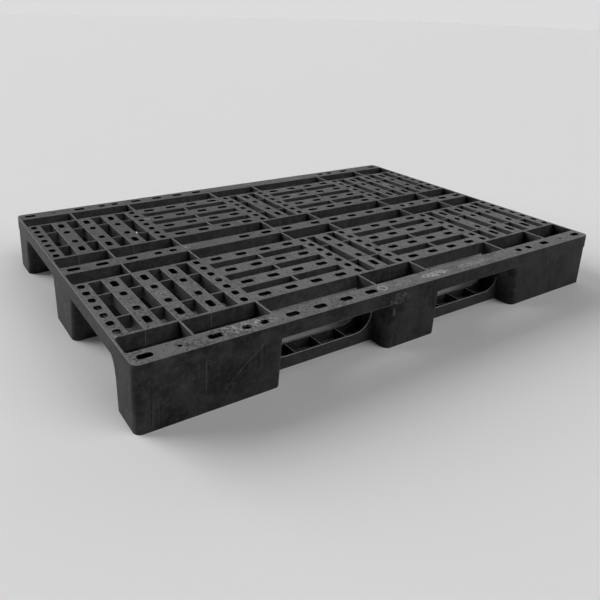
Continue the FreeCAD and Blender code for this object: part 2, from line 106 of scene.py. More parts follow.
class Sheet:
    """Lays out the nodes of one material."""

    def __init__(self, name: str) -> None:
        """Starts an empty node tree.

        Args:
            name: the material's name.
        """
        self.material = bpy.data.materials.new(name)
        self.material.use_nodes = True
        self.tree = self.material.node_tree
        self.tree.nodes.clear()
        self.coords = self.add("ShaderNodeTexCoord").outputs["Object"]
        self.normal = self.add("ShaderNodeNewGeometry").outputs["Normal"]
        self.mottle = self.smudge = self.speckle = None

    def add(self, kind: str, **settings: object) -> bpy.types.Node:
        """Adds one node and sets its properties.

        Args:
            kind: Blender's name for the node type.
            settings: properties of the node and their values.

        Returns:
            The new node.
        """
        node = self.tree.nodes.new(kind)
        for key, value in settings.items():
            setattr(node, key, value)
        return node

    def feed(self, socket: bpy.types.NodeSocket, value: object) -> None:
        """Links a socket to another one, or gives it a value.

        Args:
            socket: the input that takes the value.
            value: an output socket, a number or a tuple.
        """
        if isinstance(value, bpy.types.NodeSocket):
            self.tree.links.new(value, socket)
        else:
            socket.default_value = value

    def placed(self, scale: tuple, turn: tuple = (0.0, 0.0, 0.0), shift: tuple = (0.0, 0.0, 0.0)) -> object:
        """Stretches and turns the object coordinates.

        Args:
            scale: stretch along each axis.
            turn: rotation about each axis in degrees.
            shift: shift along each axis.

        Returns:
            The vector output of the mapping.
        """
        node = self.add("ShaderNodeMapping")
        self.feed(node.inputs["Vector"], self.coords)
        node.inputs["Location"].default_value = shift
        node.inputs["Rotation"].default_value = tuple(math.radians(a) for a in turn)
        node.inputs["Scale"].default_value = scale
        return node.outputs["Vector"]

    def noise(self, scale: float, detail: float = 2.0, vector: object = None, rough: float = 0.5) -> object:
        """A noise texture.

        Args:
            scale: waves per metre of the incoming vector.
            detail: number of finer octaves.
            vector: where the noise is read, the object coordinates by default.
            rough: share that each octave keeps.

        Returns:
            The noise's value, about 0.25 to 0.75.
        """
        node = self.add("ShaderNodeTexNoise")
        self.feed(node.inputs["Vector"], self.coords if vector is None else vector)
        node.inputs["Scale"].default_value = scale
        node.inputs["Detail"].default_value = detail
        node.inputs["Roughness"].default_value = rough
        return node.outputs["Fac"]

    def spread(self, value: object, low: float, high: float, out: tuple = (0.0, 1.0)) -> object:
        """Stretches the range low to high onto out, and clamps it.

        Args:
            value: the incoming value.
            low: value that becomes the first of out.
            high: value that becomes the second of out.
            out: the two ends of the new range.

        Returns:
            The stretched value.
        """
        node = self.add("ShaderNodeMapRange", interpolation_type="SMOOTHSTEP")
        self.feed(node.inputs["Value"], value)
        node.inputs["From Min"].default_value = low
        node.inputs["From Max"].default_value = high
        node.inputs["To Min"].default_value = out[0]
        node.inputs["To Max"].default_value = out[1]
        return node.outputs["Result"]

    def maths(self, operation: str, first: object, second: object = 0.0) -> object:
        """One sum on two values.

        Args:
            operation: Blender's name for the operation.
            first: the first value.
            second: the second value.

        Returns:
            The result.
        """
        node = self.add("ShaderNodeMath", operation=operation)
        self.feed(node.inputs[0], first)
        self.feed(node.inputs[1], second)
        return node.outputs[0]

    def mix(self, share: object, first: object, second: object) -> object:
        """Mixes two colours.

        Args:
            share: how much of the second colour shows.
            first: colour where share is 0.
            second: colour where share is 1.

        Returns:
            The mixed colour.
        """
        node = self.add("ShaderNodeMix", data_type="RGBA")
        self.feed(node.inputs["Factor"], share)
        self.feed(node.inputs["A"], first)
        self.feed(node.inputs["B"], second)
        return node.outputs["Result"]

    def axis(self, vector: object, name: str) -> object:
        """One component of a vector.

        Args:
            vector: the vector.
            name: X, Y or Z.

        Returns:
            The component.
        """
        node = self.add("ShaderNodeSeparateXYZ")
        self.feed(node.inputs[0], vector)
        return node.outputs[name]

    def attribute(self, name: str) -> object:
        """Value of a mesh attribute.

        Args:
            name: the attribute's name.

        Returns:
            Its value.
        """
        return self.add("ShaderNodeAttribute", attribute_name=name).outputs["Fac"]

    def ring(self, centre: tuple, radius: float, half: float) -> object:
        """A thin ring round an upright axis.

        Args:
            centre: middle of the ring in metres.
            radius: radius of its middle line.
            half: half of its width.

        Returns:
            A value that is 1 on the ring and 0 away from it.
        """
        node = self.add("ShaderNodeVectorMath", operation="DISTANCE")
        self.feed(node.inputs[0], self.coords)
        node.inputs[1].default_value = centre
        away = self.maths("ABSOLUTE", self.maths("SUBTRACT", node.outputs["Value"], radius))
        return self.spread(away, half, half * RING_CORE)

    def spot(self, centre: tuple, reach: tuple, lean: float = 0.0) -> object:
        """A soft oval spot.

        Args:
            centre: middle of the spot in metres.
            reach: its half lengths along each axis.
            lean: its turn about the width axis in degrees.

        Returns:
            A value that is 1 in the middle and 0 past the reach.
        """
        move = self.add("ShaderNodeMapping")
        self.feed(move.inputs["Vector"], self.coords)
        move.inputs["Location"].default_value = tuple(-c for c in centre)
        turn = self.add("ShaderNodeMapping", vector_type="TEXTURE")
        self.feed(turn.inputs["Vector"], move.outputs["Vector"])
        turn.inputs["Rotation"].default_value = (0.0, math.radians(lean), 0.0)
        turn.inputs["Scale"].default_value = reach
        node = self.add("ShaderNodeVectorMath", operation="LENGTH")
        self.feed(node.inputs[0], turn.outputs["Vector"])
        return self.spread(node.outputs["Value"], 1.0, SPOT_CORE)


class Wear(Enum):
    """What a mark on the plastic looks like."""

    RING = "ring"
    SCUFF = "scuff"
    RUB = "rub"
    STAIN = "stain"


@dataclass(frozen=True)
class Mark:
    """One mark on the plastic: most are left by the mould or by use, some are painted glints and highlights;
    its lean is a turn about the width axis.
    """

    kind: Wear
    centre: tuple
    size: tuple
    strength: float = 1.0
    lean: float = 0.0

    def share(self, sheet: Sheet) -> object:
        """How strongly the mark shows at each point.

        Args:
            sheet: the material being laid out, whose noises break the mark up.

        Returns:
            A value from 0 to the mark's strength.
        """
        if self.kind is Wear.RING:
            whole = sheet.ring(self.centre, self.size[0], self.size[1])
            worn = sheet.spread(sheet.smudge, 0.35, 0.60, (0.35, 1.0))
            return sheet.maths("MULTIPLY", sheet.maths("MULTIPLY", whole, worn), self.strength)
        low, high = SCUFF_RANGE if self.kind is Wear.SCUFF else RUB_RANGE
        whole = sheet.spot(self.centre, self.size, self.lean)
        broken = sheet.maths("MULTIPLY", whole, sheet.spread(sheet.speckle, low, high))
        if self.kind is Wear.SCUFF:
            broken = sheet.maths("MULTIPLY", broken, sheet.spread(sheet.smudge, 0.42, 0.60, (0.15, 1.0)))
        return sheet.maths("MULTIPLY", broken, self.strength)


@dataclass(frozen=True)
class MouldedPlastic:
    """Matt dark polyethylene, rubbed pale along its edges and scuffed where things slide, with painted sheen
    on its dusty level faces, painted light on its inner walls and painted shade in its holes.
    """

    name: str
    base: float = 0.021
    pale: float = 0.13
    edge_share: float = 0.9
    edge_pale: float = 0.24
    dust_share: float = 0.58
    dust_level: float = 0.155
    inner_share: float = 0.0
    inner_half: tuple = (0.593, 0.393)
    scratch_share: float = 0.4
    grain_waves: float = 1100.0
    roughness: tuple = (0.34, 0.66)
    gloss: float = 0.12
    hidden_tops: bool = False
    base_spread: tuple = (0.5, 1.7)
    mottle_range: tuple = (0.35, 0.65)
    cloud_range: tuple = (0.44, 0.70)
    cloud_share: float = 0.34
    cloud_tone: float = 0.55
    dust_blend: tuple = (0.35, 0.65)
    dust_range: tuple = (0.32, 0.60)
    dust_reach: tuple = (-0.42, 0.20)
    dust_fall: tuple = (2.1, 0.6)
    dust_limit: float = 0.9
    inner_range: tuple = (0.6, 1.3)
    inner_tone: float = 0.7
    fleck_range: tuple = (0.70, 0.76)
    fleck_share: float = 0.35
    fleck_tone: float = 1.4
    level_range: tuple = (0.6, 0.95)
    upright_scratch: float = 0.25
    streak_shares: tuple = (0.30, 0.22)
    streak_tone: float = 0.6
    edge_gap: tuple = (0.35, 1.0)
    grain_height: float = 0.4
    scratch_height: float = -0.5
    smudge_height: float = 1.1
    hole_level: float = 0.002
    mark_level: float = 0.42
    stain_level: float = 0.003
    bump_strength: float = 0.5
    bump_depth: float = 0.6 * MM
    draw_marks: bool = False
    marks: tuple = ()

    def grey(self, level: float) -> tuple:
        """A neutral colour of one level."""
        return (level, level, level, 1.0)

    def scratches(self, sheet: Sheet) -> object:
        """Fine straight scratches in three directions.

        Args:
            sheet: the material being laid out.

        Returns:
            A value that is 1 in a scratch.
        """
        total = 0.0
        for turn, run in ((8.0, 14.0), (97.0, 18.0), (-38.0, 20.0)):
            vector = sheet.placed((run, 520.0, 520.0), (0.0, 0.0, turn))
            line = sheet.spread(sheet.noise(1.0, 1.0, vector), 0.62, 0.72)
            patches = sheet.noise(7.0, 2.0, sheet.placed((1.0, 1.0, 1.0), shift=(turn, 0.0, 0.0)))
            gate = sheet.spread(patches, 0.46, 0.64)
            total = sheet.maths("ADD", sheet.maths("MULTIPLY", line, gate), total)
        return sheet.maths("MINIMUM", total, 1.0)

    def draws(self, sheet: Sheet) -> tuple:
        """Faint upright streaks left on the feet by the mould, and slanting rubs over them.

        Args:
            sheet: the material being laid out.

        Returns:
            Two values that are 1 in a streak and 1 in a rub.
        """
        streak = sheet.noise(1.0, 3.0, sheet.placed((150.0, 150.0, 6.0)))
        patch = sheet.spread(sheet.noise(14.0, 3.0), 0.40, 0.66)
        rub = sheet.noise(1.0, 3.0, sheet.placed((60.0, 60.0, 14.0), (0.0, 42.0, 0.0)))
        region = sheet.spread(sheet.noise(5.0, 1.0), 0.45, 0.6)
        return (sheet.maths("MULTIPLY", sheet.spread(streak, 0.50, 0.72), patch),
                sheet.maths("MULTIPLY", sheet.spread(rub, 0.55, 0.72), region))

    def inside(self, sheet: Sheet) -> object:
        """Where upright walls face the open insides of the deck, where painted light goes.

        Args:
            sheet: the material being laid out.

        Returns:
            A value that is 1 on those walls.
        """
        share = sheet.spread(sheet.maths("ABSOLUTE", sheet.axis(sheet.normal, "Z")), 0.6, 0.3)
        for name, limit in (("X", self.inner_half[0]), ("Y", self.inner_half[1])):
            away = sheet.maths("ABSOLUTE", sheet.axis(sheet.coords, name))
            share = sheet.maths("MULTIPLY", share, sheet.spread(away, limit, limit - 2 * MM))
        return share

    def body(self, sheet: Sheet, up: object) -> object:
        """Colour of the bare plastic, mottled and dusty, with painted sheen on level faces and painted light
        on inner walls.

        Args:
            sheet: the material being laid out.
            up: a value that is 1 on level faces.

        Returns:
            The colour.
        """
        dark, light = (self.grey(self.base * share) for share in self.base_spread)
        colour = sheet.mix(sheet.spread(sheet.mottle, *self.mottle_range), dark, light)
        cloud = sheet.spread(sheet.smudge, *self.cloud_range, (0.0, self.cloud_share))
        colour = sheet.mix(cloud, colour, self.grey(self.pale * self.cloud_tone))
        # Painted sheen on dusty tops: level faces are painted paler, most towards the front side, partly for
        # a dusty film and partly standing in for the sheen of light on them.
        coarse = sheet.maths("MULTIPLY", sheet.mottle, self.dust_blend[0])
        fine = sheet.maths("MULTIPLY", sheet.speckle, self.dust_blend[1])
        dusting = sheet.spread(sheet.maths("ADD", coarse, fine), *self.dust_range)
        handled = sheet.spread(sheet.axis(sheet.coords, "Y"), *self.dust_reach, self.dust_fall)
        dust = sheet.maths("MULTIPLY", sheet.maths("MULTIPLY", up, dusting), handled)
        dust = sheet.maths("MINIMUM", sheet.maths("MULTIPLY", dust, self.dust_share), self.dust_limit)
        colour = sheet.mix(dust, colour, self.grey(self.dust_level))
        # Painted light: upright walls inside the deck are painted paler, standing in for light that reaches
        # them.
        if self.inner_share:
            uneven = sheet.spread(sheet.smudge, 0.25, 0.75, self.inner_range)
            held = sheet.maths("MULTIPLY", self.inside(sheet), uneven)
            colour = sheet.mix(sheet.maths("MULTIPLY", held, self.inner_share), colour,
                               self.grey(self.pale * self.inner_tone))
        fleck = sheet.spread(sheet.noise(FLECK_WAVES, 1.0), *self.fleck_range, (0.0, self.fleck_share))
        return sheet.mix(sheet.maths("MULTIPLY", fleck, up), colour, self.grey(self.pale * self.fleck_tone))

    def worn(self, sheet: Sheet, colour: object, up: object, scratch: object) -> object:
        """Adds scratches, mould streaks, rubbed edges, painted shade in holes, under webs and on hidden tops,
        and single marks, some of them painted glints and highlights.

        Args:
            sheet: the material being laid out.
            colour: the colour so far.
            up: a value that is 1 on level faces.
            scratch: a value that is 1 in a scratch.

        Returns:
            The colour with its wear.
        """
        colour = sheet.mix(sheet.maths("MULTIPLY", scratch, self.scratch_share), colour, self.grey(self.pale))
        if self.draw_marks:
            tone = self.grey(self.pale * self.streak_tone)
            for streak, share in zip(self.draws(sheet), self.streak_shares):
                colour = sheet.mix(sheet.maths("MULTIPLY", streak, share), colour, tone)
        broken = sheet.spread(sheet.smudge, 0.25, 0.55, self.edge_gap)
        edge = sheet.maths("MULTIPLY", sheet.attribute(EDGE_LAYER), broken)
        colour = sheet.mix(sheet.maths("MULTIPLY", edge, self.edge_share), colour, self.grey(self.edge_pale))
        # Painted shade: hole walls and the webs under drilled plates are darkened towards near black.
        colour = sheet.mix(sheet.attribute(HOLE_LAYER), colour, self.grey(self.hole_level))
        # Painted shade: level faces of the feet, which all sit under the deck, are painted near black.
        if self.hidden_tops:
            colour = sheet.mix(up, colour, self.grey(self.hole_level))
        stains = [mark for mark in self.marks if mark.kind is Wear.STAIN]
        others = [mark for mark in self.marks if mark.kind is not Wear.STAIN]
        for marks, level in ((others, self.mark_level), (stains, self.stain_level)):
            total = 0.0
            for mark in marks:
                total = sheet.maths("MAXIMUM", mark.share(sheet), total)
            if marks:
                colour = sheet.mix(total, colour, self.grey(level))
        return colour

    def relief(self, sheet: Sheet, scratch: object) -> object:
        """The fine relief of the surface.

        Args:
            sheet: the material being laid out.
            scratch: a value that is 1 in a scratch.

        Returns:
            The surface's normal.
        """
        grain = sheet.noise(self.grain_waves, 2.0)
        height = sheet.maths("MULTIPLY", grain, self.grain_height)
        height = sheet.maths("ADD", height, sheet.maths("MULTIPLY", scratch, self.scratch_height))
        height = sheet.maths("ADD", height, sheet.maths("MULTIPLY", sheet.smudge, self.smudge_height))
        bump = sheet.add("ShaderNodeBump")
        bump.inputs["Strength"].default_value = self.bump_strength
        bump.inputs["Distance"].default_value = self.bump_depth
        sheet.feed(bump.inputs["Height"], height)
        return bump.outputs["Normal"]

    def build(self) -> bpy.types.Material:
        """Makes the material.

        Returns:
            The finished material.
        """
        sheet = Sheet(self.name)
        sheet.mottle = sheet.noise(MOTTLE_WAVES, 5.0, rough=0.62)
        sheet.smudge = sheet.noise(SMUDGE_WAVES, 4.0, rough=0.65)
        sheet.speckle = sheet.noise(SPECKLE_WAVES, 3.0, rough=0.6)
        shader = sheet.add("ShaderNodeBsdfPrincipled")
        out = sheet.add("ShaderNodeOutputMaterial")
        sheet.feed(out.inputs["Surface"], shader.outputs["BSDF"])
        up = sheet.spread(sheet.axis(sheet.normal, "Z"), *self.level_range)
        scratch = sheet.maths("MULTIPLY", self.scratches(sheet),
                              sheet.spread(up, 0.0, 1.0, (self.upright_scratch, 1.0)))
        colour = self.worn(sheet, self.body(sheet, up), up, scratch)
        sheet.feed(shader.inputs["Base Color"], colour)
        blend = sheet.maths("ADD", sheet.maths("MULTIPLY", sheet.smudge, 0.6),
                            sheet.maths("MULTIPLY", sheet.mottle, 0.4))
        sheet.feed(shader.inputs["Roughness"], sheet.spread(blend, 0.3, 0.7, self.roughness))
        shader.inputs["Specular IOR Level"].default_value = self.gloss
        sheet.feed(shader.inputs["Normal"], self.relief(sheet, scratch))
        return sheet.material


@dataclass
class Surroundings:
    """Knows which parts of a node's surface carry on in its neighbours."""

    nodes: dict
    probe: float = 1.0 * MM
    search: float = 3.0
    skin: float = 0.05
    trees: dict = field(default_factory=dict)
    islands: dict = field(default_factory=dict)

    def __post_init__(self) -> None:
        """Builds a search tree and a list of boxes for each node."""
        for name, source in self.nodes.items():
            shape = merged_copy(source)
            self.trees[name] = BVHTree.FromBMesh(shape)
            self.islands[name] = island_boxes(shape)
            shape.free()

    def near(self, low: Vector, high: Vector, own: str) -> list:
        """The other nodes' solids that are near a box.

        Args:
            low: the box's lowest corner.
            high: the box's highest corner.
            own: the node left out.

        Returns:
            A list of (name, lowest corner, highest corner), one for each solid.
        """
        found = []
        for name, boxes in self.islands.items():
            for box_low, box_high in boxes:
                apart = any(box_low[k] > high[k] + self.probe or box_high[k] < low[k] - self.probe
                            for k in range(3))
                if name != own and not apart:
                    found.append((name, box_low, box_high))
        return found

    def covered(self, point: Vector, names: set[str]) -> bool:
        """Whether a point lies inside one of the named nodes.

        Args:
            point: the point.
            names: the nodes that could hold it.

        Returns:
            True when a node holds the point.
        """
        for name in names:
            spot, normal, _, distance = self.trees[name].find_nearest(point, self.search * self.probe)
            if spot is not None and (point - spot).dot(normal) < 0 and distance > self.skin * self.probe:
                return True
        return False


def merged_copy(source: bpy.types.Object) -> bmesh.types.BMesh:
    """A node's mesh with its loose triangles joined up.

    Args:
        source: the CAD node's object.

    Returns:
        A new bmesh that the caller frees.
    """
    shape = bmesh.new()
    shape.from_mesh(source.data)
    bmesh.ops.remove_doubles(shape, verts=shape.verts, dist=MERGE)
    return shape


def island_boxes(shape: bmesh.types.BMesh) -> list:
    """The box of each separate solid in a mesh.

    Args:
        shape: the mesh.

    Returns:
        A list of (lowest corner, highest corner).
    """
    seen = set()
    boxes = []
    for start in shape.verts:
        if start in seen:
            continue
        stack = [start]
        seen.add(start)
        low = start.co.copy()
        high = start.co.copy()
        while stack:
            vert = stack.pop()
            for k in range(3):
                low[k] = min(low[k], vert.co[k])
                high[k] = max(high[k], vert.co[k])
            for edge in vert.link_edges:
                other = edge.other_vert(vert)
                if other not in seen:
                    seen.add(other)
                    stack.append(other)
        boxes.append((low, high))
    return boxes


@dataclass
class Moulding:
    """One kind of moulded piece: it takes a node's shape, rounds its free edges and gives it its finish."""

    surroundings: Surroundings
    finish: bpy.types.Material
    slot: str
    reach: float = 1.7 * MM
    edge_round: float = 0.7 * MM
    edge_steps: int = 2
    sharp_from: float = math.radians(24.0)
    smooth_below: float = math.radians(18.0)
    cut_gap: float = 1.9 * MM
    wall_area: float = 12 * MM * MM
    hole_span: float = 32.0 * MM
    plate_from: float = 120.0 * MM
    hidden_share: float = 0.85
    wall_lean: float = 0.5
    drilled: tuple = ("end_panel_", "front_rail", "rear_rail", "centre_rail")

    def piece(self, node: str) -> bpy.types.Object:
        """Makes the finished piece for one node.

        Args:
            node: the CAD node that the piece stands for.

        Returns:
            The new object.
        """
        shape = merged_copy(self.surroundings.nodes[node])
        low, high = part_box(node)
        near = self.surroundings.near(low, high, node)
        self.split(shape, self.spaced(shape, self.neighbour_cuts(low, high, near), self.hole_cuts(shape)))
        bmesh.ops.dissolve_limit(shape, angle_limit=FLAT, use_dissolve_boundaries=False, verts=shape.verts,
                                 edges=shape.edges, delimit={"SEAM"})
        self.mark_holes(shape)
        self.mark_hidden(shape, node)
        self.round_edges(shape, {name for name, _, _ in near})
        self.detail(shape, node)
        mesh = bpy.data.meshes.new("moulded_" + node)
        shape.to_mesh(mesh)
        shape.free()
        mesh.polygons.foreach_set("use_smooth", [True] * len(mesh.polygons))
        mesh.set_sharp_from_angle(angle=self.smooth_below)
        mesh.materials.append(self.finish)
        piece = bpy.data.objects.new("moulded_" + node, mesh)
        bpy.context.scene.collection.objects.link(piece)
        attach(piece, "root")
        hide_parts(node)
        LOG.info("%s: %d faces", piece.name, len(mesh.polygons))
        return piece

    def neighbour_cuts(self, low: Vector, high: Vector, near: list) -> set:
        """Planes where the neighbours start and stop.

        Args:
            low: lowest corner of the node.
            high: highest corner of the node.
            near: the neighbours' solids.

        Returns:
            A set of (axis, place).
        """
        places = set()
        for _, box_low, box_high in near:
            for k in range(3):
                for value in (box_low[k], box_high[k]):
                    if low[k] + MM < value < high[k] - MM:
                        places.add((k, round(value, 5)))
        return places

    def rims(self, shape: bmesh.types.BMesh) -> list:
        """The closed outlines of the level faces.

        Args:
            shape: the mesh.

        Returns:
            A list of lists of vertices.
        """
        edges = {}
        for edge in shape.edges:
            level = [face for face in edge.link_faces if abs(face.normal.z) > LEVEL]
            if len(level) == 1:
                for vert in edge.verts:
                    edges.setdefault(vert, []).append(edge)
        rings = []
        seen = set()
        for start in edges:
            if start in seen:
                continue
            ring = [start]
            seen.add(start)
            for vert in ring:
                for edge in edges[vert]:
                    other = edge.other_vert(vert)
                    if other not in seen:
                        seen.add(other)
                        ring.append(other)
            rings.append(ring)
        return rings

    def hole_cuts(self, shape: bmesh.types.BMesh) -> set:
        """Planes through the middle of each opening in the level faces.

        Args:
            shape: the mesh.

        Returns:
            A set of (axis, place).
        """
        places = set()
        for ring in self.rims(shape):
            for k in range(2):
                values = [vert.co[k] for vert in ring]
                places.add((k, round((min(values) + max(values)) / 2, 4)))
        return places

    def mark_holes(self, shape: bmesh.types.BMesh) -> None:
        """Marks the walls of the small drain holes, where painted shade goes.

        Args:
            shape: the mesh.
        """
        layer = shape.faces.layers.float.new(HOLE_LAYER)
        for ring in self.rims(shape):
            spans = [max(vert.co[k] for vert in ring) - min(vert.co[k] for vert in ring) for k in range(2)]
            centre = sum((vert.co for vert in ring), Vector((0.0, 0.0, 0.0))) / len(ring)
            if max(spans) > self.hole_span or centre.z < self.plate_from:
                continue
            for face in {face for vert in ring for face in vert.link_faces}:
                if abs(face.normal.z) < LEVEL and (face.calc_center_median() - centre).dot(face.normal) < 0.0:
                    face[layer] = 1.0

    def mark_hidden(self, shape: bmesh.types.BMesh, node: str) -> None:
        """Marks the webs under a drilled plate, where painted shade goes.

        Args:
            shape: the mesh.
            node: the CAD node.
        """
        if not node.startswith(self.drilled):
            return
        layer = shape.faces.layers.float[HOLE_LAYER]
        tree = BVHTree.FromBMesh(shape)
        above = Vector((0.0, 0.0, 1.0))
        for face in shape.faces:
            start = face.calc_center_median() + face.normal * self.edge_round
            # Upright faces with the plate above them get painted shade.
            if abs(face.normal.z) < self.wall_lean and tree.ray_cast(start, above)[0] is not None:
                face[layer] = self.hidden_share

    def spaced(self, shape: bmesh.types.BMesh, wanted: set, spare: set) -> list:
        """Leaves out the planes that come too near a parallel wall or another plane.

        Args:
            shape: the mesh.
            wanted: planes taken first, as (axis, place).
            spare: planes taken where there is room.

        Returns:
            The planes that are kept.
        """
        walls = {(k, round(face.calc_center_median()[k], 5)) for face in shape.faces for k in range(3)
                 if abs(face.normal[k]) > UPRIGHT and face.calc_area() > self.wall_area}
        kept = []
        for k, value in sorted(wanted) + sorted(spare):
            near_wall = any(k == j and MERGE * 10 < abs(value - place) < self.cut_gap for j, place in walls)
            near_cut = any(k == j and abs(value - place) < self.cut_gap for j, place in kept)
            if not near_wall and not near_cut:
                kept.append((k, value))
        return kept

    def split(self, shape: bmesh.types.BMesh, places: list) -> None:
        """Cuts a mesh's faces along planes and marks the cuts as seams.

        Args:
            shape: the mesh.
            places: the planes, as (axis, place).
        """
        for k, value in places:
            point = Vector((0.0, 0.0, 0.0))
            point[k] = value
            normal = Vector((0.0, 0.0, 0.0))
            normal[k] = 1.0
            geometry = shape.verts[:] + shape.edges[:] + shape.faces[:]
            made = bmesh.ops.bisect_plane(shape, geom=geometry, dist=1e-5, plane_co=point, plane_no=normal)
            for item in made["geom_cut"]:
                if isinstance(item, bmesh.types.BMEdge):
                    item.seam = True

    def round_edges(self, shape: bmesh.types.BMesh, names: set) -> None:
        """Rounds every outward edge that no neighbour carries on, and marks it as rubbed.

        Args:
            shape: the mesh.
            names: nodes that touch this one.
        """
        holes = shape.faces.layers.float[HOLE_LAYER]
        free = [edge for edge in shape.edges if self.is_free(edge, names)
                and not any(face[holes] > self.hidden_share for face in edge.link_faces)]
        wear = shape.faces.layers.float.new(EDGE_LAYER)
        made = bmesh.ops.bevel(shape, geom=free, offset=self.edge_round, offset_type="OFFSET", affect="EDGES",
                               segments=self.edge_steps, profile=0.5, material=-1, clamp_overlap=False,
                               loop_slide=True)
        for face in made["faces"]:
            face[wear] = 1.0

    def is_free(self, edge: bmesh.types.BMEdge, names: set) -> bool:
        """Whether an edge is an outward corner in the open air.

        Args:
            edge: the edge.
            names: nodes that touch this one.

        Returns:
            True when the edge is rounded in the real moulding.
        """
        if len(edge.link_faces) != 2 or not edge.is_convex or edge.calc_face_angle(0.0) < self.sharp_from:
            return False
        middle = (edge.verts[0].co + edge.verts[1].co) / 2
        first, second = (face.normal for face in edge.link_faces)
        step = self.reach
        beside = (middle + step * first - step * second, middle - step * first + step * second)
        return not any(self.surroundings.covered(point, names) for point in beside)

    def detail(self, shape: bmesh.types.BMesh, node: str) -> None:
        """Adds what the node's own kind of piece has besides."""


@dataclass
class Deck(Moulding):
    """The grid deck: rails, panels, end skirts and the ribs in its bands."""

    wall_lines: tuple = (541.0 * MM, 416.0 * MM)
    middle_line: float = 15.5 * MM
    line_width: float = 1.6 * MM
    line_height: float = 0.8 * MM
    line_wear: float = 0.6

    def build(self) -> None:
        """Makes all the pieces of the deck."""
        for node in sorted(self.surroundings.nodes):
            if not node.startswith(("foot_", "runner_")):
                self.piece(node)

    def detail(self, shape: bmesh.types.BMesh, node: str) -> None:
        """Adds the fine upright ridges on the long walls of the end and centre panels.

        Args:
            shape: the panel's mesh.
            node: the panel's CAD node.
        """
        low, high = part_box(node)
        if node.startswith("end_panel_"):
            end = -1 if high.x < 0 else 1
            places = [end * away for away in self.wall_lines]
        elif node.startswith("centre_panel_"):
            places = [-self.middle_line, self.middle_line]
        else:
            return
        for place in places:
            for face_y, side in ((low.y, -1), (high.y, 1)):
                middle = Vector((place, face_y + side * self.line_height / 2, (low.z + high.z) / 2))
                size = (self.line_width, self.line_height, high.z - low.z - 2 * MM)
                made = bmesh.ops.create_cube(shape, size=1.0)
                bmesh.ops.scale(shape, verts=made["verts"], vec=size)
                bmesh.ops.translate(shape, verts=made["verts"], vec=middle)
                faces = {face for vert in made["verts"] for face in vert.link_faces}
                wear = shape.faces.layers.float[EDGE_LAYER]
                for face in faces:
                    face[wear] = self.line_wear


@dataclass
class Feet(Moulding):
    """The nine hollow block feet."""

    fillet: float = 38.0 * MM
    fillet_steps: int = 10
    fillet_depth: float = 22.0 * MM
    fillet_round: float = 11.0 * MM
    round_steps: int = 6
    side_draft: float = math.radians(8.0)

    def build(self) -> None:
        """Makes the nine feet."""
        for node in sorted(self.surroundings.nodes):
            if node.startswith("foot_"):
                self.piece(node)

    def detail(self, shape: bmesh.types.BMesh, node: str) -> None:
        """Adds the curved fillet that joins a corner foot's outer face to the end skirt.

        Args:
            shape: the foot's mesh.
            node: the foot's CAD node.
        """
        for row in Row:
            for end in End:
                if node == f"foot_{row.name.lower()}_{end.name.lower()}":
                    self.add_fillet(shape, node, row.value, end.value)

    def add_fillet(self, shape: bmesh.types.BMesh, node: str, row: int, end: int) -> None:
        """Adds one fillet under the end skirt.

        Args:
            shape: the foot's mesh.
            node: the foot's CAD node.
            row: sign of Y of the foot.
            end: sign of X of the foot.
        """
        low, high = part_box(node)
        outer = low.x if end < 0 else high.x
        inner = high.y if row < 0 else low.y
        under = high.z
        made = bmesh.new()
        middle = inner - row * self.fillet * (1.0 - math.tan(self.side_draft))
        start = made.verts.new((outer, middle, under))
        centre = Vector((outer, middle, under - self.fillet))
        spun = bmesh.ops.spin(made, geom=[start], cent=centre, axis=(-row, 0.0, 0.0), use_duplicate=False,
                              angle=math.pi / 2 - self.side_draft, steps=self.fillet_steps)
        last = [item for item in spun["geom_last"] if isinstance(item, bmesh.types.BMVert)][0]
        foot_side = made.verts.new((outer, last.co.y + row * self.fillet_depth, last.co.z))
        foot_top = made.verts.new((outer, inner + row * self.fillet_depth, under))
        arc = sorted((vert for vert in made.verts if vert not in (foot_side, foot_top)),
                     key=lambda vert: -vert.co.z)
        face = made.faces.new(arc + [foot_side, foot_top])
        walls = bmesh.ops.extrude_face_region(made, geom=[face])
        moved = [item for item in walls["geom"] if isinstance(item, bmesh.types.BMVert)]
        bmesh.ops.translate(made, verts=moved, vec=(-end * self.fillet_depth, 0.0, 0.0))
        bmesh.ops.recalc_face_normals(made, faces=made.faces)
        rim = [edge for edge in made.edges if edge.calc_face_angle(0.0) > self.sharp_from
               and all(abs(vert.co.x - outer) < MERGE and vert in arc for vert in edge.verts)]
        bmesh.ops.bevel(made, geom=rim, offset=self.fillet_round, offset_type="OFFSET", affect="EDGES",
                        segments=self.round_steps, profile=0.5, material=-1, clamp_overlap=False)
        spare = bpy.data.meshes.new("fillet")
        made.to_mesh(spare)
        made.free()
        shape.from_mesh(spare)
        bpy.data.meshes.remove(spare)


@dataclass
class Runners(Moulding):
    """The six channel runners between the feet."""

    reach: float = 1.0 * MM

    def build(self) -> None:
        """Makes the six runner bays."""
        for node in sorted(self.surroundings.nodes):
            if node.startswith("runner_"):
                self.piece(node)


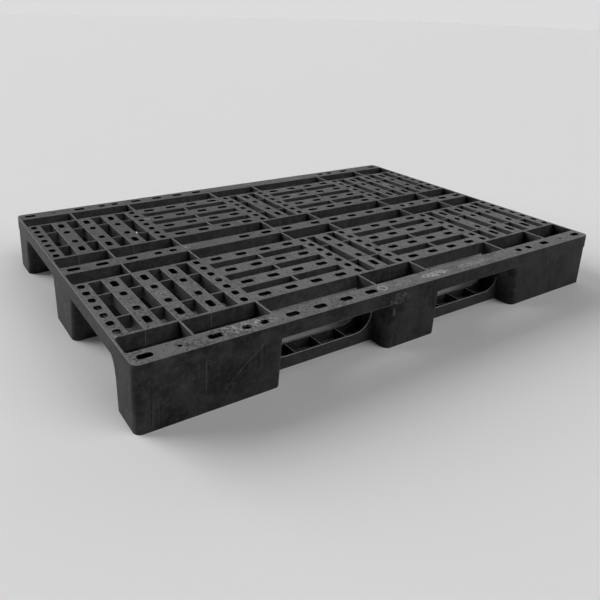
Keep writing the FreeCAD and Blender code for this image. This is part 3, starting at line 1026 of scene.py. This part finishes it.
def deck_marks() -> tuple:
    """The marks on the top of the deck, painted glints among them.

    Returns:
        The marks, with places and sizes in metres.
    """
    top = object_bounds()[1].z
    thick = 0.01
    scuff = Wear.SCUFF
    return (
        Mark(Wear.RING, (-0.4615, -0.188, top), (0.0095, 0.0013), 0.45),
        Mark(Wear.RING, (-0.4615, -0.188, top), (0.0015, 0.0015), 0.45),
        Mark(Wear.RING, (-0.074, -0.378, top), (0.0085, 0.0024), 0.9),
        Mark(Wear.RING, (-0.337, -0.188, top), (0.0095, 0.0013), 0.25),
        Mark(scuff, (-0.400, -0.376, top), (0.062, 0.018, thick), 0.8),
        Mark(scuff, (-0.335, -0.380, top), (0.014, 0.010, thick), 1.0),
        Mark(scuff, (-0.045, -0.399, 0.108), (0.034, 0.004, 0.016), 0.30),
        Mark(scuff, (-0.020, -0.380, top), (0.030, 0.014, thick), 0.30),
        Mark(scuff, (-0.365, -0.372, top), (0.018, 0.010, thick), 1.0),
        Mark(Wear.RUB, (0.072, -0.380, top), (0.050, 0.012, thick), 0.75),
        Mark(Wear.RUB, (0.190, -0.380, top), (0.060, 0.011, thick), 0.35),
        # Painted glints: pale spots on the deck top where light glints, as far as the rear rail.
        Mark(scuff, (0.461, -0.188, top), (0.010, 0.012, thick), 1.0),
        Mark(scuff, (0.461, 0.188, top), (0.010, 0.012, thick), 1.0),
        Mark(scuff, (-0.320, 0.225, top), (0.009, 0.012, thick), 0.9),
        Mark(scuff, (-0.318, 0.0, top), (0.012, 0.008, thick), 0.9),
        Mark(scuff, (0.360, 0.0, top), (0.024, 0.007, thick), 0.8),
        Mark(scuff, (0.460, 0.0, top), (0.012, 0.007, thick), 0.8),
        Mark(scuff, (0.135, 0.225, top), (0.010, 0.010, thick), 0.8),
        Mark(scuff, (0.075, 0.385, top), (0.012, 0.009, thick), 0.8),
        Mark(scuff, (-0.588, -0.388, top), (0.009, 0.006, thick), 0.9),
        Mark(scuff, (-0.592, -0.306, top), (0.008, 0.010, thick), 0.8))


def foot_marks() -> tuple:
    """The marks on the faces of the feet that face outwards, a painted highlight among them.

    Returns:
        The marks, with places and sizes in metres.
    """
    front = -0.3985
    thin = 0.0014
    return (
        Mark(Wear.STAIN, (-0.571, front, 0.050), (thin, 0.006, 0.058), 0.8),
        Mark(Wear.RUB, (-0.474, front, 0.070), (thin, 0.006, 0.060), 0.10),
        Mark(Wear.STAIN, (-0.470, front, 0.086), (0.005, 0.006, 0.006), 0.8),
        # Painted highlight: a thin pale line down the rounded front corner of the near foot.
        Mark(Wear.RUB, (-0.596, -0.3885, 0.060), (0.002, 0.003, 0.080), 0.16),
        # A dark patch painted on the middle foot's side, just under the skirt.
        Mark(Wear.STAIN, (-0.064, -0.390, 0.088), (0.010, 0.012, 0.012), 0.7),
        Mark(Wear.RUB, (-0.056, -0.397, 0.080), (0.004, 0.008, 0.012), 0.16),
        Mark(Wear.RUB, (-0.045, front, 0.100), (0.020, 0.006, 0.005), 0.20),
        Mark(Wear.RUB, (-0.385, front, 0.080), (0.045, 0.006, 0.0016), 0.12, -38.0),
        Mark(Wear.STAIN, (-0.400, front, 0.062), (0.030, 0.006, 0.0014), 0.6, -48.0),
        Mark(Wear.RUB, (-0.420, front, 0.050), (0.036, 0.006, 0.0012), 0.08, -40.0))


@dataclass
class Studio:
    """A pale floor, soft lamps and the camera."""

    eye: tuple = (-0.889627, -1.198334, 0.654748)
    azimuth: float = -32.9732
    elevation: float = 16.3888
    roll: float = 1.6783
    lens: float = 37.51536
    shift: tuple = (0.058749, -0.1826725)
    sensor: float = 36.0
    clip: tuple = (0.01, 100.0)
    sky_power: float = 0.02
    backdrop: float = 0.72
    floor_reach: float = 30.0
    floor_level: float = 0.9
    lamps: dict = field(default_factory=lambda: {
        "rear_lamp": (15.0, 16.0, 50.0, 0.68),
        "rear_right_lamp": (60.0, 14.0, 50.0, 0.56),
        "rear_left_lamp": (-40.0, 20.0, 50.0, 3.3),
        "front_lamp": (150.0, 40.0, 60.0, 1.30)})

    def floor(self) -> None:
        """Lays the floor."""
        shape = bmesh.new()
        bmesh.ops.create_grid(shape, x_segments=2, y_segments=2, size=self.floor_reach)
        mesh = bpy.data.meshes.new("studio_floor")
        shape.to_mesh(mesh)
        shape.free()
        sheet = Sheet("studio_floor")
        shader = sheet.add("ShaderNodeBsdfPrincipled")
        shader.inputs["Base Color"].default_value = (self.floor_level,) * 3 + (1.0,)
        shader.inputs["Roughness"].default_value = 0.9
        shader.inputs["Specular IOR Level"].default_value = 0.1
        out = sheet.add("ShaderNodeOutputMaterial")
        sheet.feed(out.inputs["Surface"], shader.outputs["BSDF"])
        mesh.materials.append(sheet.material)
        floor = bpy.data.objects.new("studio_floor", mesh)
        bpy.context.scene.collection.objects.link(floor)
        floor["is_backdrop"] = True

    def lamp(self, name: str, azimuth: float, height: float, width: float, power: float) -> None:
        """Hangs one soft far lamp.

        Args:
            name: the lamp's name.
            azimuth: where it hangs, in degrees round from the rear side towards the right end.
            height: how high it hangs, in degrees.
            width: how wide it looks from the object, in degrees.
            power: its power in watts on each square metre.
        """
        light = bpy.data.lights.new(name, "SUN")
        light.angle = math.radians(width)
        light.energy = power
        turn = math.radians(azimuth)
        rise = math.radians(height)
        place = Vector((math.sin(turn) * math.cos(rise), math.cos(turn) * math.cos(rise), math.sin(rise)))
        lamp = bpy.data.objects.new(name, light)
        lamp.rotation_euler = (-place).to_track_quat("-Z", "Y").to_euler()
        bpy.context.scene.collection.objects.link(lamp)

    def camera(self) -> None:
        """Sets up the camera."""
        turn = math.radians(self.azimuth)
        rise = math.radians(self.elevation)
        lean = math.radians(self.roll)
        back = Vector((math.sin(turn) * math.cos(rise), -math.cos(turn) * math.cos(rise), math.sin(rise)))
        right = Vector((math.cos(turn), math.sin(turn), 0.0))
        up = back.cross(right)
        right, up = (right * math.cos(lean) + up * math.sin(lean),
                     up * math.cos(lean) - right * math.sin(lean))
        data = bpy.data.cameras.new("camera")
        data.sensor_width = self.sensor
        data.lens = self.lens
        data.shift_x, data.shift_y = self.shift
        data.clip_start, data.clip_end = self.clip
        camera = bpy.data.objects.new("camera", data)
        camera.matrix_world = Matrix.Translation(self.eye) @ Matrix((right, up, back)).transposed().to_4x4()
        bpy.context.scene.collection.objects.link(camera)
        bpy.context.scene.camera = camera

    def light(self) -> None:
        """Hangs the lamps and lights the surroundings."""
        world = bpy.data.worlds.new("studio")
        world.use_nodes = True
        tree = world.node_tree
        sky = tree.nodes["Background"]
        sky.inputs["Color"].default_value = (1.0, 1.0, 1.0, 1.0)
        seen = tree.nodes.new("ShaderNodeMapRange")
        seen.inputs["To Min"].default_value = self.sky_power
        seen.inputs["To Max"].default_value = self.backdrop
        tree.links.new(tree.nodes.new("ShaderNodeLightPath").outputs["Is Camera Ray"], seen.inputs["Value"])
        tree.links.new(seen.outputs["Result"], sky.inputs["Strength"])
        bpy.context.scene.world = world
        for name, (azimuth, height, width, power) in self.lamps.items():
            self.lamp(name, azimuth, height, width, power)
        bpy.context.scene.view_settings.view_transform = "Standard"

    def build(self) -> None:
        """Sets up the whole studio."""
        self.floor()
        self.light()
        self.camera()
        LOG.info("studio set up")


def main() -> None:
    """Builds the pallet's pieces, dresses them and sets up the studio."""
    logging.basicConfig(level=logging.INFO, format="%(message)s")
    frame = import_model()
    surroundings = Surroundings(frame["nodes"])
    deck_finish = MouldedPlastic("deck_plastic", inner_share=0.45, marks=deck_marks()).build()
    foot_finish = MouldedPlastic("foot_plastic", base=0.020, draw_marks=True, hidden_tops=True,
                                 marks=foot_marks()).build()
    runner_finish = MouldedPlastic("runner_plastic", base=0.020, edge_pale=0.5, edge_share=1.0,
                                   dust_share=0.7, inner_share=0.25).build()
    Deck(surroundings, deck_finish, "deck_plastic").build()
    Feet(surroundings, foot_finish, "foot_plastic").build()
    Runners(surroundings, runner_finish, "runner_plastic").build()
    Studio().build()
    bpy.context.view_layer.update()


if __name__ == "__main__":
    main()
